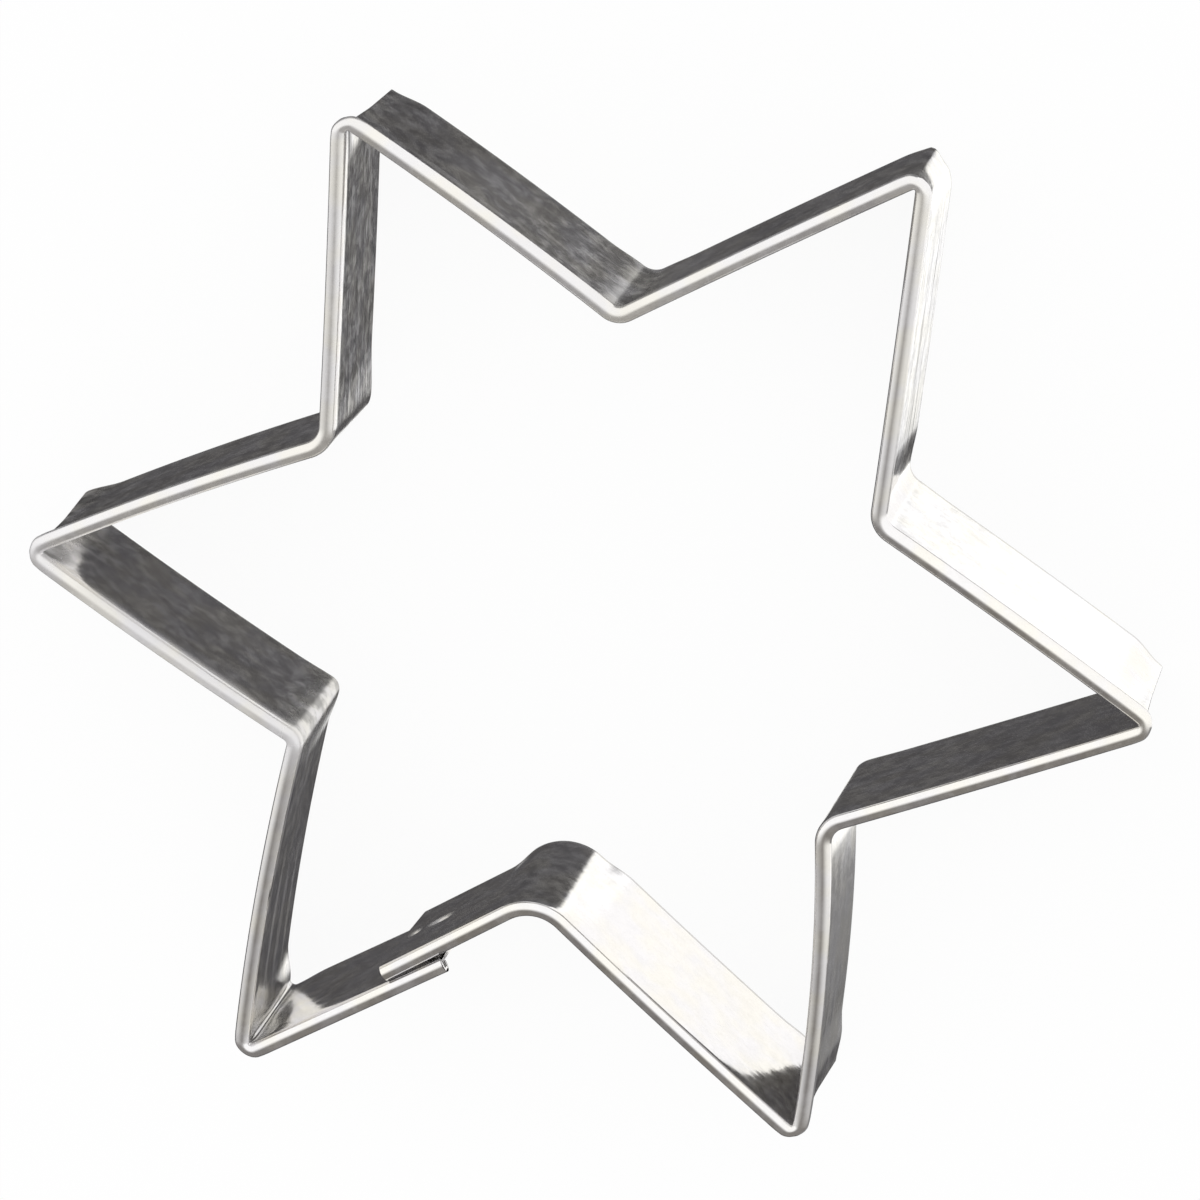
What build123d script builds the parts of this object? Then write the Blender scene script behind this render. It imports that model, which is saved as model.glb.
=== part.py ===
from build123d import *
from math import asin, cos, degrees, radians, sin, tan
import os

# A six-pointed star cookie cutter, bent from one strip of tinplate. The top edge of the
# strip is rolled outwards into a hollow bead for the hand, the bottom edge is left bare
# and cuts the dough, and the two ends lap on one arm, where two spot welds hold them.
# Millimetres, +Z up. The origin is the middle of the star on the plane of the cutting
# edge, and +X runs to a tip. The plan is measured along the middle of the bead.

# Overall sizes
tip_reach = 55.0
valley_reach = 31.8
strip_height = 17.8
sheet = 0.3
bead_diameter = 1.6

# The strip's section: how far round the edge is rolled, and how far the bare edge
# stands out from a plumb wall
curl_turn = 280.0
wall_flare = 0.5

# The star is bent by hand round a former, so no two corners lie quite alike. Each row
# holds a corner's reach as a share of the even reach, and its turn in degrees from the
# even angle. Rows run anticlockwise, from the valley beside the lap.
corner_angle = 60.0
first_valley_angle = -90.0
first_tip_angle = -60.0
valley_shares = ((0.87, -2.2), (0.942, -0.75), (0.985, -1.0),
                 (0.98, -1.5), (0.925, 1.0), (0.955, 1.0))
tip_shares = ((1.0, -0.5), (1.015, 0.0), (1.03, 0.5),
              (0.98, 0.5), (0.989, 1.25), (1.045, 0.0))

# Inside radii of the bends, on the tight side of the bead, the valleys' by shares
valley_inside_radius = 2.0
valley_radius_shares = (1.9, 0.85, 0.7, 0.5, 0.95, 0.25)
tip_inside_radius = 0.1

# Each whole arm bows outwards a little at its middle, by a share of its length
bow_shares = (0.005, 0.022, 0.002, 0.005, 0.002, 0.003, 0.009, -0.003, 0.011, 0.008, 0.015)
bow_radius = 30.0

# The lap. The strand from the first valley ends inside the strand from the last tip,
# their beads side by side. The two draw slowly apart from the inner end, so the outer
# strand's free end stands off.
inner_length = 17.7
inner_turn = 1.8
strand_gap = 0.08
lap_length = 6.0

# The spot welds, placed from the inner end. Each joins the floors of two dimples,
# pressed into the two strands towards each other.
weld_height = 8.5
weld_diameter = 0.9
weld_thickness = 0.2
round_weld_setback = 1.5
long_weld_setback = 4.4
long_weld_length = 1.6
dimple_margin = 0.1
dimple_slope = 30.0

bead_radius = bead_diameter / 2
curl_radius = bead_radius - sheet
bead_height = strip_height - bead_radius


def corners(even_reach, first_angle, shares):
    points = []
    for step, (reach_share, turn) in enumerate(shares):
        angle = first_angle + step * corner_angle + turn
        points.append(Vector(even_reach * reach_share, 0, bead_height).rotate(Axis.Z, angle))
    return points


def outward_of(run):
    # Square to an anticlockwise run of the strip, away from the middle of the star
    return run.cross(Vector(0, 0, 1))


valleys = corners(valley_reach, first_valley_angle, valley_shares)
tips = corners(tip_reach, first_tip_angle, tip_shares)
valley_bends = [bead_radius + valley_inside_radius * share for share in valley_radius_shares]
tip_bend = bead_radius + tip_inside_radius

# Corners and arm middles with their bend radii, anticlockwise from the first valley
turning_points = []
turning_radii = []
for valley, valley_bend, tip in zip(valleys, valley_bends, tips):
    turning_points += [valley, tip]
    turning_radii += [valley_bend, tip_bend]
path_points = [turning_points[0]]
path_radii = [turning_radii[0]]
for arm, bow_share in enumerate(bow_shares):
    arm_start = turning_points[arm]
    arm_run = turning_points[arm + 1] - arm_start
    path_points += [arm_start + arm_run / 2 + outward_of(arm_run) * bow_share, turning_points[arm + 1]]
    path_radii += [bow_radius, turning_radii[arm + 1]]

# The two ends of the strip. The outer strand runs straight from its tip, one pitch
# outside the inner end.
strand_pitch = bead_diameter + strand_gap
inner_run = (valleys[0] - tips[-1]).normalized().rotate(Axis.Z, -inner_turn)
inner_end = valleys[0] - inner_run * inner_length
tip_to_inner_end = inner_end - tips[-1]
outer_turn = degrees(asin(strand_pitch / tip_to_inner_end.length))
outer_run = tip_to_inner_end.normalized().rotate(Axis.Z, -outer_turn)
beside_inner_end = inner_end + outward_of(outer_run) * strand_pitch
outer_end = beside_inner_end + outer_run * lap_length
path_points = [inner_end] + path_points + [outer_end]

# The middle line between the two strands' walls, at the height of the welds
strand_angle = outer_run.get_angle(inner_run)
weld_run = (inner_run + outer_run).normalized()
weld_out = outward_of(weld_run)
wall_step_in = bead_radius - sheet / 2 - wall_flare * (1 - weld_height / bead_height)
weld_start = (inner_end + beside_inner_end) / 2 - weld_out * wall_step_in
weld_start = Vector(weld_start.X, weld_start.Y, weld_height)


def weld_plane(setback, side, distance):
    # Square to the weld, at a distance from its middle towards one strand
    origin = weld_start + weld_run * setback + weld_out * side * distance
    return Plane(origin=origin, x_dir=weld_run, z_dir=weld_out * side)


def dimple_reach(setback):
    # From a dimple's floor to the middle of its strand's sheet
    half_pitch = strand_pitch / 2 + setback * tan(radians(strand_angle / 2))
    return half_pitch - weld_thickness / 2


# The hollow of a dimple is smaller than its outside by the sheet, square to the slope
hollow_step_in = sheet * (1 - sin(radians(dimple_slope))) / cos(radians(dimple_slope))
floor_diameter = weld_diameter + 2 * dimple_margin
floor_length = long_weld_length + 2 * dimple_margin
hollow_diameter = floor_diameter - 2 * hollow_step_in
hollow_length = floor_length - 2 * hollow_step_in
floor_distance = weld_thickness / 2
hollow_distance = floor_distance + sheet

# The strip, one rolled section carried round the whole star and dimpled at the lap
with BuildPart() as cutter_band:
    with BuildLine() as bead_line:
        FilletPolyline(*path_points, radius=path_radii)
    start_run = bead_line.line % 0
    start_plane = Plane(origin=bead_line.line @ 0, x_dir=-outward_of(start_run), z_dir=start_run)
    with BuildSketch(start_plane):
        with BuildLine():
            inner_foot = (bead_radius - wall_flare, -bead_height)
            outer_foot = (curl_radius - wall_flare, -bead_height)
            Line(inner_foot, (bead_radius, 0))
            rolled = CenterArc((0, 0), bead_radius, 0, curl_turn)
            lining = CenterArc((0, 0), curl_radius, 0, curl_turn)
            Line(rolled @ 1, lining @ 1)
            Line((curl_radius, 0), outer_foot)
            Line(outer_foot, inner_foot)
        make_face()
    sweep(path=bead_line.line)
    for side in (-1, 1):
        with BuildSketch(weld_plane(round_weld_setback, side, floor_distance)):
            Circle(floor_diameter / 2)
        extrude(amount=dimple_reach(round_weld_setback), taper=-dimple_slope)
        with BuildSketch(weld_plane(long_weld_setback, side, floor_distance)):
            SlotOverall(floor_length, floor_diameter)
        extrude(amount=dimple_reach(long_weld_setback), taper=-dimple_slope)
    for side in (-1, 1):
        with BuildSketch(weld_plane(round_weld_setback, side, hollow_distance)):
            Circle(hollow_diameter / 2)
        extrude(amount=dimple_reach(round_weld_setback), taper=-dimple_slope, mode=Mode.SUBTRACT)
        with BuildSketch(weld_plane(long_weld_setback, side, hollow_distance)):
            SlotOverall(hollow_length, hollow_diameter)
        extrude(amount=dimple_reach(long_weld_setback), taper=-dimple_slope, mode=Mode.SUBTRACT)

# The round spot weld, nearer the inner end
with BuildPart() as round_weld:
    with BuildSketch(weld_plane(round_weld_setback, 1, 0)):
        Circle(weld_diameter / 2)
    extrude(amount=weld_thickness / 2, both=True)

# The long spot weld, struck twice side by side
with BuildPart() as long_weld:
    with BuildSketch(weld_plane(long_weld_setback, 1, 0)):
        SlotOverall(long_weld_length, weld_diameter)
    extrude(amount=weld_thickness / 2, both=True)

cutter_band.part.label = "cutter_band"
round_weld.part.label = "round_weld"
long_weld.part.label = "long_weld"

os.makedirs("parts", exist_ok=True)
export_step(cutter_band.part, "parts/cutter_band.step")
export_step(round_weld.part, "parts/round_weld.step")
export_step(long_weld.part, "parts/long_weld.step")
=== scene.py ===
import bpy
from math import asin, atan, cos, pi, radians, sin, tan
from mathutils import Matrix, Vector


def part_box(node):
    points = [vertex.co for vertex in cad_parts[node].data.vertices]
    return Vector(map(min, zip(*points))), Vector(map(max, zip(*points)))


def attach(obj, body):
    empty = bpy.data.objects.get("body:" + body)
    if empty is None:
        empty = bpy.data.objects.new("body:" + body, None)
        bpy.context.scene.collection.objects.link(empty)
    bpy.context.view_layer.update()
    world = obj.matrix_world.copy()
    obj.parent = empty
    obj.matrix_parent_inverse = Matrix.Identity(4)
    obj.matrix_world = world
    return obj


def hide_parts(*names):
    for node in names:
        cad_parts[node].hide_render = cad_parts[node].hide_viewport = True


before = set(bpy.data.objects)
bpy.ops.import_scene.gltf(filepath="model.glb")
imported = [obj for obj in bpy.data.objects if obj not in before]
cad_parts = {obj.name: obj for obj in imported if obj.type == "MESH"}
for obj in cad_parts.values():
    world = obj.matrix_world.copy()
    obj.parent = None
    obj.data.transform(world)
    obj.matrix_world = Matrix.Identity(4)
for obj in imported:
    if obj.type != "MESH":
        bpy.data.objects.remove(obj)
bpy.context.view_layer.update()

# Camera. A long lens looks down on the star from above its upper side, about 22 degrees
# off the star's axis, and turned so that no arm lies level in the picture.
camera_place = (0.09512, 0.19016, 0.54457)
camera_angles = (radians(-18.084), radians(11.977), radians(5.944))
camera_lens = 180
camera_near = 0.05
bpy.ops.object.camera_add(location=camera_place, rotation=camera_angles)
camera = bpy.context.object
camera.data.lens = camera_lens
camera.data.clip_start = camera_near
bpy.context.scene.camera = camera

# The strip. It is tinplate 0.3 mm thick, bent by hand into a six-pointed star. Its top
# edge is rolled outwards into a hollow bead, its bottom edge is left bare and cuts the
# dough, and its two ends lap on one arm.
strip_low, strip_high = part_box("cutter_band")
strip_height = strip_high.z - strip_low.z
sheet = 0.0003
bead_radius = 0.0008
bead_height = strip_height - bead_radius
curl_turn = radians(280)
wall_flare = 0.0005
tip_reach = 0.055
valley_reach = 0.0318

# Corners as shares of the even reach and turns in degrees from the even angle,
# anticlockwise from the valley beside the lap
corner_angle = 60
first_valley_angle = -90
first_tip_angle = -60
valley_shares = ((0.87, -2.2), (0.942, -0.75), (0.985, -1.0),
                 (0.98, -1.5), (0.925, 1.0), (0.955, 1.0))
tip_shares = ((1.0, -0.5), (1.015, 0.0), (1.03, 0.5),
              (0.98, 0.5), (0.989, 1.25), (1.045, 0.0))
valley_bends = (0.0046, 0.0025, 0.0022, 0.0018, 0.0027, 0.0013)
tip_bend = 0.0009

# Each arm bows outwards by a share of its length. Its cutting edge leans outwards from
# its bead, by one amount along the arm and by another at each corner.
bow_shares = (0, 0.005, 0.022, 0.002, 0.005, 0.002, 0.003, 0.009, -0.003, 0.011, 0.008, 0.015, 0)
arm_leans = (0.0008, -0.0004, 0.0008, 0.0006, 0.0006, 0.0009, 0.0003, 0.0002, 0.0009, 0.0004,
             0.0008, 0.00105, 0.0002)
valley_leans = (0.0001, 0.00055, 0.0007, 0.0004, 0.0007, 0.0007)
tip_leans = (0.0002, -0.0001, 0.0, -0.0003, 0.0008, 0.0004)
corner_ease = 0.0038

# The lap. The outer strand runs straight from its tip, one pitch outside the inner end.
inner_length = 0.0177
inner_turn = radians(-1.8)
strand_gap = 0.00008
strand_pitch = 2 * bead_radius + strand_gap
lap_length = 0.006


def corners(even_reach, first_angle, shares):
    points = []
    for step, (reach_share, turn) in enumerate(shares):
        angle = radians(first_angle + corner_angle * step + turn)
        points.append(Vector((cos(angle), sin(angle), 0)) * even_reach * reach_share)
    return points


def turned(run, angle):
    return Vector((run.x * cos(angle) - run.y * sin(angle), run.x * sin(angle) + run.y * cos(angle), 0))


def outward_of(run):
    # Square to an anticlockwise run of the strip, away from the middle of the star
    return Vector((run.y, -run.x, 0))


def eased(share):
    return share * share * (3 - 2 * share)


valleys = corners(valley_reach, first_valley_angle, valley_shares)
tips = corners(tip_reach, first_tip_angle, tip_shares)
inner_run = turned((valleys[0] - tips[-1]).normalized(), inner_turn)
inner_end = valleys[0] - inner_run * inner_length
tip_to_inner_end = inner_end - tips[-1]
outer_run = turned(tip_to_inner_end.normalized(), -asin(strand_pitch / tip_to_inner_end.length))
outer_end = inner_end + outward_of(outer_run) * strand_pitch + outer_run * lap_length

# Stations of the bead's line: place, bend radius and lean
stations = [(inner_end, 0, arm_leans[0])]
for valley, valley_bend, valley_lean, tip, tip_lean in zip(
        valleys, valley_bends, valley_leans, tips, tip_leans):
    stations += [(valley, valley_bend, valley_lean), (tip, tip_bend, tip_lean)]
stations.append((outer_end, 0, arm_leans[-1]))

# Arms: two ends, the runs at them, two bend radii and the leans of four knots
arms = []
for (start, start_bend, start_lean), (end, end_bend, end_lean), bow_share, arm_lean in zip(
        stations, stations[1:], bow_shares, arm_leans):
    bow_angle = atan(4 * bow_share)
    run = (end - start).normalized()
    leave, arrive = turned(run, -bow_angle), turned(run, bow_angle)
    leans = (start_lean, arm_lean, arm_lean, end_lean)
    arms.append((start, end, leave, arrive, start_bend, end_bend, leans))

# Knots of the bead's line: the place, its two handles and the lean. Each arm has one at
# either end and one a little way in from each, where its own lean begins.
knots_per_arm = 4
knots = []
for arm, (start, end, leave, arrive, start_bend, end_bend, leans) in enumerate(arms):
    start_turn = arms[arm - 1][3].angle(leave) if start_bend else 0
    end_turn = arrive.angle(arms[arm + 1][2]) if end_bend else 0
    first = start + leave * start_bend * tan(start_turn / 2)
    last = end - arrive * end_bend * tan(end_turn / 2)
    reach = (last - first).length / 3
    span = [first, first + leave * reach, last - arrive * reach, last]
    ease_share = corner_ease / (last - first).length
    marks = [first]
    for share in (ease_share, 1 - ease_share):
        marks.append(span[0] * (1 - share) ** 3 + span[1] * 3 * share * (1 - share) ** 2
                     + span[2] * 3 * share ** 2 * (1 - share) + span[3] * share ** 3)
    marks.append(last)
    ways = [leave,
            leave.lerp(arrive, ease_share).normalized(),
            arrive.lerp(leave, ease_share).normalized(),
            arrive]
    steps = [start_bend * tan(start_turn / 4) * 4]
    steps += [(after - before).length for before, after in zip(marks, marks[1:])]
    steps.append(end_bend * tan(end_turn / 4) * 4)
    for mark, way, step_in, step_out, lean in zip(marks, ways, steps, steps[1:], leans):
        knots.append((mark, mark - way * (step_in or reach) / 3, mark + way * (step_out or reach) / 3, lean))

rings_per_knot = 16
bpy.ops.curve.primitive_bezier_curve_add(enter_editmode=False)
bead_line = bpy.context.object
bead_line.data.dimensions = "3D"
bead_line.data.twist_mode = "Z_UP"
bead_line.data.resolution_u = rings_per_knot
spline = bead_line.data.splines[0]
spline.tilt_interpolation = "EASE"
spline.bezier_points.add(len(knots) - len(spline.bezier_points))
lift = Vector((0, 0, bead_height))
for point, (middle, left, right, lean) in zip(spline.bezier_points, knots):
    point.handle_left_type = point.handle_right_type = "FREE"
    point.co, point.handle_left, point.handle_right = middle + lift, left + lift, right + lift
    point.tilt = -atan((lean - wall_flare) / bead_height)

# The strip's section, seen along the run: x outwards and y up from the middle of the
# bead. The wall's rows lie closest at the height of the welds.
curl_steps, lining_steps = 28, 14
rows_below, rows_beside, rows_above = 7, 17, 6
wide_step, close_step = 0.06, 0.01
wall_shares = [wide_step * row for row in range(rows_below)]
wall_shares += [wide_step * rows_below + close_step * row for row in range(rows_beside)]
wall_shares += [wall_shares[-1] + wide_step * (row + 1) for row in range(rows_above)]
foot_inner = Vector((wall_flare - bead_radius, -bead_height))
foot_outer = Vector((wall_flare - bead_radius + sheet, -bead_height))
top_inner = Vector((-bead_radius, 0))
top_outer = Vector((-bead_radius + sheet, 0))
section_points = [foot_inner.lerp(top_inner, share) for share in wall_shares]
for step in range(curl_steps + 1):
    turn = pi - curl_turn * step / curl_steps
    section_points.append(Vector((cos(turn), sin(turn))) * bead_radius)
for step in range(lining_steps + 1):
    turn = pi - curl_turn * (1 - step / lining_steps)
    section_points.append(Vector((cos(turn), sin(turn))) * (bead_radius - sheet))
section_points += [foot_outer.lerp(top_outer, share) for share in reversed(wall_shares)]
bpy.ops.curve.primitive_bezier_circle_add()
section = bpy.context.object
section.data.dimensions = "2D"
section.data.splines.clear()
section_line = section.data.splines.new("POLY")
section_line.points.add(len(section_points) - len(section_line.points))
section_line.use_cyclic_u = True
for point, section_point in zip(section_line.points, section_points):
    point.co = (*section_point, 0, 1)

bead_line.data.bevel_mode = "OBJECT"
bead_line.data.bevel_object = section
bead_line.data.use_fill_caps = True
bpy.ops.object.select_all(action="DESELECT")
bead_line.select_set(True)
bpy.context.view_layer.objects.active = bead_line
bpy.ops.object.convert(target="MESH")
strip = bpy.context.object
strip.name = "rolled_strip"
bpy.ops.object.transform_apply(location=True, rotation=True, scale=True)
bpy.data.objects.remove(section)

# Distances along the strip and round its section, in metres, for the marks in its metal.
# The mesh lists the ring of the outer end first, and the ring of the inner end follows.
vertices = strip.data.vertices
rows = len(section_points)
top_row = len(wall_shares)
row_places = [0]
for here, there in zip(section_points, section_points[1:]):
    row_places.append(row_places[-1] + (there - here).length)
ring_places = [0]
for base in range(rows, len(vertices), rows):
    ring_step = vertices[base + top_row].co - vertices[base - rows + top_row].co
    ring_places.append(ring_places[-1] + ring_step.length)
along = strip.data.attributes.new("along", "FLOAT", "POINT")
around = strip.data.attributes.new("around", "FLOAT", "POINT")
along.data.foreach_set("value", [ring_place for ring_place in ring_places for row in range(rows)])
around.data.foreach_set("value", row_places * len(ring_places))

# The middles of the bends, valleys and tips by turns, from the first valley on
corner_places = []
for corner in range(len(valleys) + len(tips)):
    last_knot = knots_per_arm * (corner + 1) - 1
    corner_places.append(ring_places[rings_per_knot * last_knot + rings_per_knot // 2])


def rings_near(middle_place, reach):
    # The rings within reach of a place along the strip, with their nearness from 0 to 1
    nears = [1 - abs(ring_place - middle_place) / reach for ring_place in ring_places]
    return [(ring, near) for ring, near in enumerate(nears) if near > 0]


# How far the bending has crazed the tin at each bend, from the first valley on. The same share
# # greys the bends' walls, partly as crazed tin and partly as painted shade.
corner_crazes_and_shades = (0.1, 0.1, 0.1, 0.1, 0.05, 0.15, 0.6, 0.35, 0.1, 0.8, 0.8, 0.3)
craze_and_shade_reach = 0.0045
ring_crazes_and_shades = [0.0] * len(ring_places)
for corner_place, corner_craze_and_shade in zip(corner_places, corner_crazes_and_shades):
    for ring, near in rings_near(corner_place, craze_and_shade_reach):
        ring_crazes_and_shades[ring] = max(ring_crazes_and_shades[ring], near * corner_craze_and_shade)
crazed_and_shaded = strip.data.attributes.new("crazed_and_shaded", "FLOAT", "POINT")
crazed_and_shaded.data.foreach_set("value", [ring_craze_and_shade for ring_craze_and_shade in ring_crazes_and_shades for row in range(rows)])

# Under the bead the wall bulges a little at each tip
bulges = (0.00035, 0.00015, 0.00035, 0.0002, 0.0003, 0.00035)
bulge_reach = 0.0035
bulge_top = 0.0022
bulge_depth = 0.010
outermost_row = top_row + round(curl_steps * pi / curl_turn)
wall_rows = list(range(top_row)) + list(range(rows - top_row, rows))
for bulge, bulge_place in zip(bulges, corner_places[1::2]):
    for ring, near in rings_near(bulge_place, bulge_reach):
        ring_vertices = vertices[ring * rows:(ring + 1) * rows]
        out = (ring_vertices[outermost_row].co - ring_vertices[top_row].co).normalized()
        for row in wall_rows:
            depth = bead_height - ring_vertices[row].co.z
            share = min(depth / bulge_top, max(0, 1 - (depth - bulge_top) / (bulge_depth - bulge_top)))
            ring_vertices[row].co += out * bulge * eased(near) * eased(share)

# At one tip and one valley the bend isn't plumb, so the wall strays more and more towards
# the cutting edge
stray_tip, stray_valley = 0, 4
tip_stray_size, valley_stray_size = 0.0008, 0.0014
stray_reach = 0.006
tip_stray = outward_of((valleys[stray_tip + 1] - tips[stray_tip]).normalized()) * tip_stray_size
valley_stray = (valleys[stray_valley] - tips[stray_valley - 1]).normalized() * valley_stray_size
for stray_place, stray in ((corner_places[2 * stray_tip + 1], tip_stray),
                           (corner_places[2 * stray_valley], valley_stray)):
    for ring, near in rings_near(stray_place, stray_reach):
        for row in wall_rows:
            vertex = vertices[ring * rows + row]
            vertex.co += stray * eased(near) * (1 - vertex.co.z / bead_height)

# One tip's wall is blunt, as if knocked flat, more so towards the cutting edge. The
# bluntness starts a little under the bead and reaches its full depth at the edge.
blunt_tip = 2
blunt_depth = 0.0013
blunt_reach = 0.005
blunt_share = 0.8
blunt_turn = radians(-13)
blunt_top = 0.0015
blunt_top_share = 0.7
blunt_out = turned(tips[blunt_tip].normalized(), blunt_turn)
blunt_rings = [ring for ring, near in rings_near(corner_places[2 * blunt_tip + 1], blunt_reach)]
for row in wall_rows:
    row_vertices = [vertices[ring * rows + row] for ring in blunt_rings]
    depth = bead_height - row_vertices[0].co.z
    depth_share = min(1, depth / blunt_top)
    depth_share *= blunt_top_share + (1 - blunt_top_share) * depth / bead_height
    limit = max(vertex.co.dot(blunt_out) for vertex in row_vertices) - blunt_depth * depth_share
    for vertex in row_vertices:
        over = vertex.co.dot(blunt_out) - limit
        if over > 0:
            vertex.co -= blunt_out * over * blunt_share


def press(spot, push, reach):
    # Pushes the metal round the point of the strip nearest to a spot, on its own strand
    bpy.ops.object.mode_set(mode="OBJECT")
    nearest = min(vertices, key=lambda vertex: (vertex.co - spot).length)
    nearest.select = True
    bpy.ops.object.mode_set(mode="EDIT")
    bpy.ops.transform.translate(value=push, use_proportional_edit=True, proportional_size=reach,
                                proportional_edit_falloff="SMOOTH", use_proportional_connected=True)
    bpy.ops.mesh.select_all(action="DESELECT")


bpy.ops.object.mode_set(mode="EDIT")
bpy.ops.mesh.select_mode(type="VERT")
bpy.ops.mesh.select_all(action="DESELECT")

# The bead is flattened a little where it turns round each tip
tip_press = 0.00035
tip_press_reach = 0.003
for tip in tips:
    out = tip.normalized()
    press(tip + out * bead_radius + lift, -out * tip_press, tip_press_reach)

# Both ends of the bead are nipped by the shears, on both sides and from above
nip_depth = 0.00028
nip_reach = 0.0008
for end, end_run in ((inner_end, inner_run), (outer_end, outer_run)):
    for side in (-1, 1):
        square = outward_of(end_run) * side
        press(end + square * bead_radius + lift, -square * nip_depth, nip_reach)
    press(end + lift + Vector((0, 0, bead_radius)), Vector((0, 0, -nip_depth)), nip_reach)

# The outer strand's wall is cut a little longer than its bead
slant_push = 0.0005
slant_reach = 0.003
slant_height_share = 0.9
wall_end = outer_end - outward_of(outer_run) * (bead_radius - sheet)
press(wall_end + lift * slant_height_share, outer_run * slant_push, slant_reach)

# The spot welds sit in dimples, one struck once and one struck three times side by side.
# Each strike presses both strands, by a setback from the inner end and a depth. The
# strands are pressed on their inner faces, and a step back from the outer strand makes
# that face the nearest one.
weld_height = 0.0085
dimple_reach = 0.0010
round_setback = 0.0015
long_setback = 0.0044
strike_pitch = 0.0004
strikes = ((round_setback, 0.00045),
           (long_setback - strike_pitch, 0.00028),
           (long_setback, 0.00033),
           (long_setback + strike_pitch, 0.00028))
flare_at_welds = wall_flare / 2
step_back = 0.0004
weld_out = outward_of((inner_run + outer_run).normalized())
for setback, depth in strikes:
    inner_spot = inner_end + inner_run * setback + Vector((0, 0, weld_height))
    inner_spot -= weld_out * (bead_radius - flare_at_welds)
    outer_spot = inner_spot + weld_out * (strand_pitch - step_back)
    press(inner_spot, weld_out * depth, dimple_reach)
    press(outer_spot, -weld_out * depth, dimple_reach)

merge_distance = 1e-6
smooth_angle = radians(40)
bpy.ops.mesh.select_all(action="SELECT")
bpy.ops.mesh.remove_doubles(threshold=merge_distance)
bpy.ops.mesh.normals_make_consistent(inside=False)
bpy.ops.object.mode_set(mode="OBJECT")
bpy.ops.object.shade_smooth_by_angle(angle=smooth_angle)


# Tinplate: bright rolled tin on steel, hazed in mottled patches, with faint ripples along
# the strip. The rim is duller towards one side of the star.
def node_material(name):
    made = bpy.data.materials.new(name)
    made.use_nodes = True
    return made, made.node_tree.nodes, made.node_tree.links


def node(kind, **settings):
    # Adds a node to the tree that `nodes` and `links` were last taken from
    made = nodes.new(kind)
    for name, value in settings.items():
        setattr(made, name, value)
    return made


def plug(socket, value):
    if isinstance(value, tuple):
        socket.default_value = (*value, 1) if len(socket.default_value) == 4 else value
    elif isinstance(value, (int, float)):
        socket.default_value = value
    else:
        links.new(value, socket)


def maths(operation, *values):
    made = node("ShaderNodeMath", operation=operation)
    for socket, value in zip(made.inputs, values):
        plug(socket, value)
    return made.outputs[0]


def distance(first, second):
    squares = maths("MULTIPLY_ADD", first, first, maths("MULTIPLY", second, second))
    return maths("SQRT", squares)


def fade(value, low, high, low_out=0.0, high_out=1.0):
    made = node("ShaderNodeMapRange", interpolation_type="SMOOTHSTEP")
    plug(made.inputs["Value"], value)
    for name, number in zip(("From Min", "From Max", "To Min", "To Max"), (low, high, low_out, high_out)):
        plug(made.inputs[name], number)
    return made.outputs[0]


def shade(share, low, high):
    made = node("ShaderNodeMix", data_type="RGBA")
    for socket, value in zip((made.inputs[0], made.inputs[6], made.inputs[7]), (share, low, high)):
        plug(socket, value)
    return made.outputs[2]


def noise(where, scale, detail, roughness):
    made = node("ShaderNodeTexNoise")
    plug(made.inputs["Vector"], where)
    for name, number in (("Scale", scale), ("Detail", detail), ("Roughness", roughness)):
        plug(made.inputs[name], number)
    return made.outputs[0]


tin, nodes, links = node_material("tinplate")
metal_place = node("ShaderNodeTexCoord").outputs["Object"]
metal_axes = node("ShaderNodeSeparateXYZ")
plug(metal_axes.inputs[0], metal_place)
along_place = node("ShaderNodeAttribute", attribute_name="along").outputs["Fac"]
around_place = node("ShaderNodeAttribute", attribute_name="around").outputs["Fac"]
# How crazed each bend is; the same share also greys the bends as painted shade
craze_and_shade = node("ShaderNodeAttribute", attribute_name="crazed_and_shaded").outputs["Fac"]

# Places on the unrolled strip, squeezed across it, so that noise is drawn out along it
streak_stretch = 9.0
unrolled = node("ShaderNodeCombineXYZ")
plug(unrolled.inputs[0], along_place)
plug(unrolled.inputs[1], maths("MULTIPLY", around_place, streak_stretch))
strip_place = unrolled.outputs[0]

# Dullness is what the tin lacks of a pure mirror, the sum of several layers of noise.
# Each has a scale, detail and roughness, and two levels between which it sets in.
mottle = fade(noise(metal_place, 700, 6, 0.65), 0.38, 0.66)
cloud = fade(noise(metal_place, 130, 3, 0.55), 0.35, 0.65)
specks = fade(noise(metal_place, 1500, 2, 0.5), 0.62, 0.75)
streaks = fade(noise(strip_place, 130, 4, 0.6), 0.45, 0.70)
blots = fade(noise(metal_place, 420, 4, 0.6), 0.40, 0.62)
crazed_blots = maths("MULTIPLY", craze_and_shade, blots)
least_dull = 0.006
dull = least_dull
for layer, strength in ((mottle, 0.09), (cloud, 0.04), (specks, 0.06), (streaks, 0.025),
                        (crazed_blots, 0.10)):
    dull = maths("MULTIPLY_ADD", layer, strength, dull)

# The rim. Its dullness grows along a slanted direction across the star.
rim_start = row_places[top_row]
rim_end = row_places[top_row + curl_steps]
rim_middle = (rim_start + rim_end) / 2
rim_fade_in, rim_fade_out = 0.0006, 0.0002
past_wall = fade(around_place, rim_start - rim_fade_in, rim_start)
before_lining = fade(around_place, rim_end, rim_end + rim_fade_out, 1.0, 0.0)
on_rim = maths("MULTIPLY", past_wall, before_lining)
dull_side_slant = 0.8
dull_side_start, dull_side_end = -0.02, 0.04
rim_strength = 0.22
across = maths("MULTIPLY", metal_axes.outputs[0], dull_side_slant)
towards_dull_side = maths("SUBTRACT", metal_axes.outputs[1], across)
rim_dull = fade(towards_dull_side, dull_side_start, dull_side_end, 0.0, rim_strength)
dull = maths("MULTIPLY_ADD", on_rim, rim_dull, dull)

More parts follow.
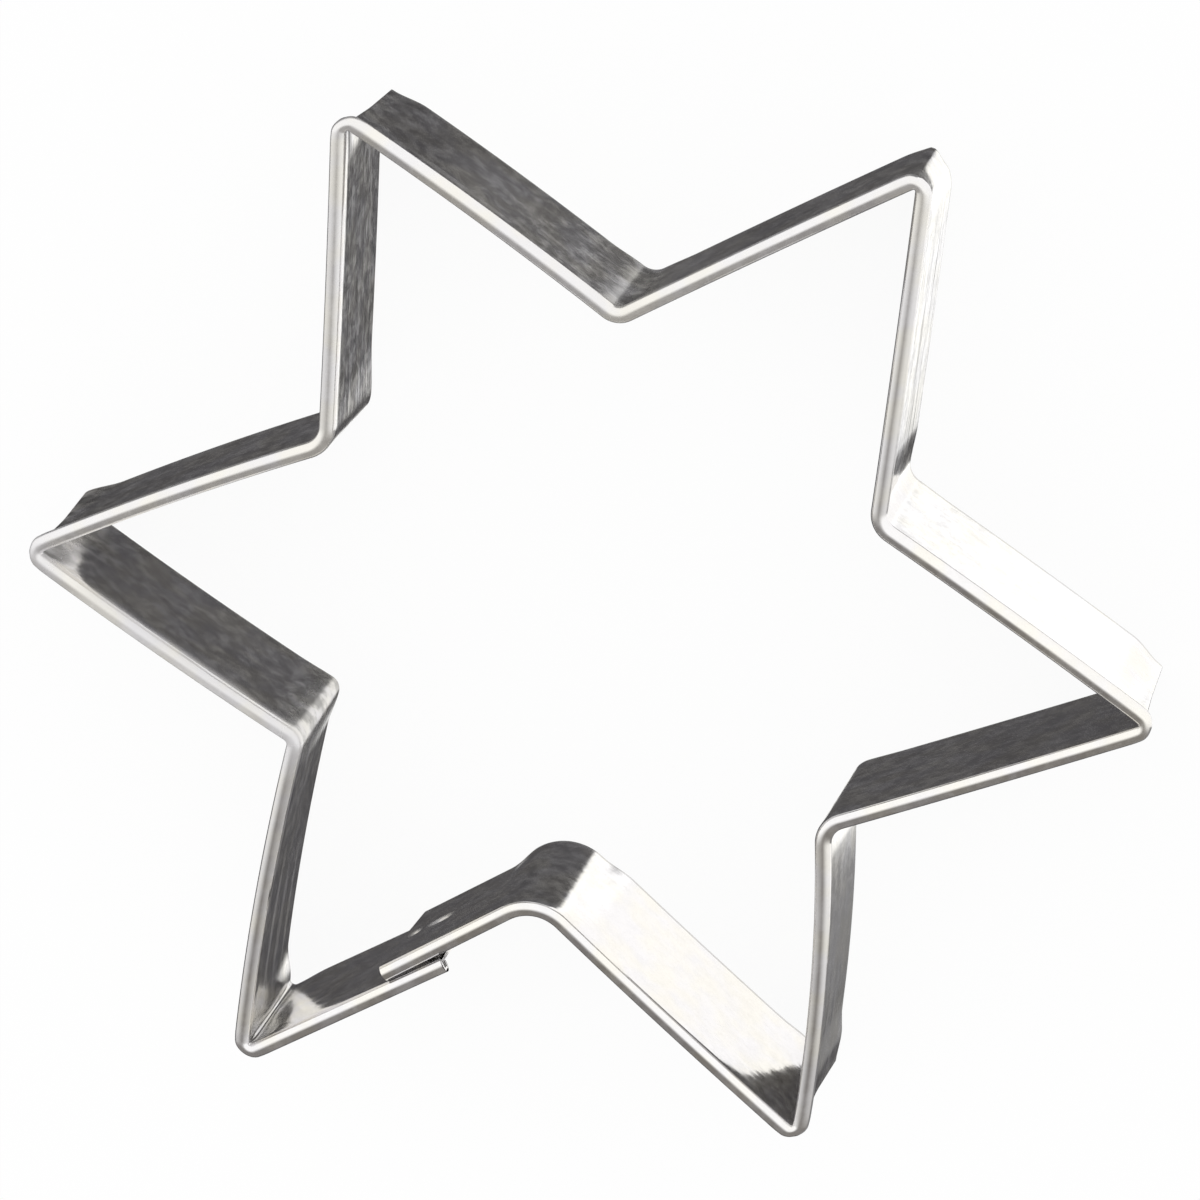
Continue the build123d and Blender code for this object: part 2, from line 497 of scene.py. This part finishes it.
# Patches of haze and the marks of the welds: the place along the strip, the distance
# round its section from the inner foot, the two half sizes and the strength
outer_foot = row_places[-1]
inner_lap = ring_places[1]
outer_lap = ring_places[-1] - lap_length
patches = ((corner_places[9] + 0.0185, rim_middle, 0.0190, 0.0030, 0.5),
           (corner_places[7] - 0.0110, outer_foot - 0.0125, 0.0070, 0.0006, 0.13),
           (corner_places[7] + 0.0120, 0.0115, 0.0080, 0.0005, 0.13),
           (corner_places[7] + 0.0100, 0.0085, 0.0060, 0.0004, 0.10),
           (corner_places[6] + 0.0060, outer_foot - 0.0085, 0.0170, 0.0200, 0.075),
           (corner_places[10] - 0.0100, 0.0085, 0.0150, 0.0110, 0.035),
           (corner_places[11] - 0.0105, 0.0125, 0.0090, 0.0008, 0.32),
           (corner_places[11] - 0.0085, 0.0078, 0.0080, 0.0010, 0.26),
           (corner_places[11] - 0.0095, 0.0035, 0.0080, 0.0007, 0.26),
           (inner_lap + round_setback, weld_height, 0.0008, 0.0010, 0.55),
           (inner_lap + long_setback, weld_height, 0.0016, 0.0013, 0.55),
           (outer_lap + round_setback, outer_foot - weld_height, 0.0008, 0.0009, 0.6),
           (outer_lap + long_setback, outer_foot - weld_height, 0.0016, 0.0009, 0.6))
patch_core, patch_edge = 0.5, 1.2
patch_wobble = 0.8
wobble = maths("MULTIPLY_ADD", noise(metal_place, 350, 4, 0.6), patch_wobble, -patch_wobble / 2)
for patch_along, patch_around, half_length, half_height, strength in patches:
    far_along = maths("DIVIDE", maths("SUBTRACT", along_place, patch_along), half_length)
    far_around = maths("DIVIDE", maths("SUBTRACT", around_place, patch_around), half_height)
    far = maths("ADD", distance(far_along, far_around), wobble)
    dull = maths("ADD", dull, fade(far, patch_core, patch_edge, strength, 0.0))

# Painted shade: a grey, duller line along the cutting edge, where the wall stands on the floor
foot_shade_full, foot_shade_gone = 0.00015, 0.00045
foot_shade_dull, foot_shade_grey = 0.25, 0.55
foot_shade = maths("MAXIMUM", fade(around_place, foot_shade_full, foot_shade_gone, 1.0, 0.0),
             fade(around_place, outer_foot - foot_shade_gone, outer_foot - foot_shade_full))
dull = maths("MULTIPLY_ADD", foot_shade, foot_shade_dull, dull)

# Colour. The tin is a little warmer in some places. At the bends the wall is grey, partly
# # crazed tin and partly painted shade, and a grey line of painted shade runs along the cutting edge.
warm_tin = (0.73, 0.71, 0.67)
cool_tin = (0.71, 0.70, 0.71)
crazed_and_shade_grey = (0.28, 0.275, 0.265)
bend_grey_level = 1.2
tint = fade(noise(metal_place, 240, 2, 0.5), 0.35, 0.65)
crazed_and_shaded_wall = maths("MULTIPLY", craze_and_shade, maths("SUBTRACT", 1.0, on_rim))
grey_share = maths("MULTIPLY", crazed_and_shaded_wall, maths("SUBTRACT", bend_grey_level, blots))
grey_share = maths("MAXIMUM", grey_share, maths("MULTIPLY", foot_shade, foot_shade_grey))
shader = nodes["Principled BSDF"]
plug(shader.inputs["Base Color"], shade(grey_share, shade(tint, warm_tin, cool_tin), crazed_and_shade_grey))
plug(shader.inputs["Metallic"], maths("SUBTRACT", 1.0, dull))

least_rough, mottle_rough, craze_rough = 0.09, 0.06, 0.30
roughness = maths("MULTIPLY_ADD", mottle, mottle_rough, least_rough)
roughness = maths("MULTIPLY_ADD", craze_and_shade, craze_rough, roughness)
plug(shader.inputs["Roughness"], roughness)

ripple_depth = 0.000015
long_ripple_share = 1.6
long_ripples = noise(strip_place, 60, 3, 0.5)
dents = noise(metal_place, 300, 3, 0.55)
ripple = node("ShaderNodeBump")
plug(ripple.inputs["Strength"], 1.0)
plug(ripple.inputs["Distance"], ripple_depth)
plug(ripple.inputs["Height"], maths("MULTIPLY_ADD", long_ripples, long_ripple_share, dents))
plug(shader.inputs["Normal"], ripple.outputs[0])
strip.data.materials.append(tin)
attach(strip, "root")
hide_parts("cutter_band")

# The two spot welds. Each is a small disc of melted steel and tin between the floors of
# two dimples, grey and grained. They carry over from the CAD as they are.
weld_grey = (0.46, 0.45, 0.44)
weld_brown = (0.30, 0.27, 0.25)
clean_metallic, burnt_loss = 0.9, 0.3
least_weld_rough, grain_rough = 0.35, 0.25
grain_depth = 0.00002
weld_metal, nodes, links = node_material("weld_metal")
weld_place = node("ShaderNodeTexCoord").outputs["Object"]
grain = fade(noise(weld_place, 2600, 5, 0.6), 0.35, 0.65)
burnt = fade(noise(weld_place, 900, 2, 0.5), 0.45, 0.70)
weld_shader = nodes["Principled BSDF"]
plug(weld_shader.inputs["Base Color"], shade(burnt, weld_grey, weld_brown))
plug(weld_shader.inputs["Metallic"], maths("MULTIPLY_ADD", burnt, -burnt_loss, clean_metallic))
plug(weld_shader.inputs["Roughness"], maths("MULTIPLY_ADD", grain, grain_rough, least_weld_rough))
weld_bump = node("ShaderNodeBump")
plug(weld_bump.inputs["Distance"], grain_depth)
plug(weld_bump.inputs["Height"], grain)
plug(weld_shader.inputs["Normal"], weld_bump.outputs[0])
for weld in ("round_weld", "long_weld"):
    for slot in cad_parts[weld].material_slots:
        slot.material = weld_metal

# The studio. A pale floor, nearly as bright as the white all round it, so that it takes
# only a faint shadow. The metal doesn't mirror it.
floor_size = 6
floor_white = (0.95, 0.95, 0.95)
glow_share = 0.92
bpy.ops.mesh.primitive_plane_add(size=floor_size)
floor = bpy.context.object
floor.name = "floor"
floor_paint, nodes, links = node_material("floor_paint")
floor_shader = nodes["Principled BSDF"]
plug(floor_shader.inputs["Base Color"], floor_white)
plug(floor_shader.inputs["Specular IOR Level"], 0.0)
glow = node("ShaderNodeEmission")
plug(glow.inputs["Color"], (1, 1, 1))
glow_mix = node("ShaderNodeMixShader")
plug(glow_mix.inputs[0], glow_share)
plug(glow_mix.inputs[1], floor_shader.outputs[0])
plug(glow_mix.inputs[2], glow.outputs[0])
plug(nodes["Material Output"].inputs["Surface"], glow_mix.outputs[0])
floor.data.materials.append(floor_paint)
floor.visible_glossy = False

# The world. It is plain white, but the metal mirrors a pattern: below, a dark table with
# a bright side and a lit spot, and above, a grey wall and a bright window. Places in it
# are the x, y or z of a direction one unit long.
table_dark = (0.083, 0.08, 0.083)
table_bright = (1.52, 1.52, 1.50)
table_warm = (1.37, 1.36, 1.34)
wall_grey = (0.235, 0.22, 0.205)
window = (1.4, 1.4, 1.38)
side_edge = (0.170, 0.220)
side_end = (-0.335, -0.295)
past_side_end = 0.12
warm_edge = (0.26, 0.33)
spot_x, spot_y = -0.164, -0.329
spot_rim = (0.08, 0.145)
spot_strength = 0.8
window_slant = 0.3
window_edge = (-0.45, 0.25)
table_edge = (-0.55, -0.2)

world = bpy.data.worlds.new("studio")
bpy.context.scene.world = world
world.use_nodes = True
nodes, links = world.node_tree.nodes, world.node_tree.links
nodes.clear()
world_axes = node("ShaderNodeSeparateXYZ")
plug(world_axes.inputs[0], node("ShaderNodeTexCoord").outputs["Generated"])
x, y, z = world_axes.outputs
bright_side = maths("MULTIPLY", fade(x, *side_edge), fade(y, *side_end, past_side_end, 1.0))
from_spot = distance(maths("SUBTRACT", x, spot_x), maths("SUBTRACT", y, spot_y))
lit_spot = fade(from_spot, *spot_rim, spot_strength, 0.0)
lit_table = shade(fade(x, *warm_edge), table_bright, table_warm)
below = shade(maths("MAXIMUM", bright_side, lit_spot), table_dark, lit_table)
towards_window = maths("MULTIPLY_ADD", maths("ABSOLUTE", x), window_slant, y)
above = shade(fade(towards_window, *window_edge), wall_grey, window)
mirrored = node("ShaderNodeBackground")
plug(mirrored.inputs["Color"], shade(fade(z, *table_edge), below, above))
plain = node("ShaderNodeBackground")
plug(plain.inputs["Color"], (1, 1, 1))
ray_mix = node("ShaderNodeMixShader")
plug(ray_mix.inputs[0], node("ShaderNodeLightPath").outputs["Is Glossy Ray"])
plug(ray_mix.inputs[1], plain.outputs[0])
plug(ray_mix.inputs[2], mirrored.outputs[0])
plug(node("ShaderNodeOutputWorld").inputs["Surface"], ray_mix.outputs[0])

bpy.context.scene.view_settings.view_transform = "Standard"
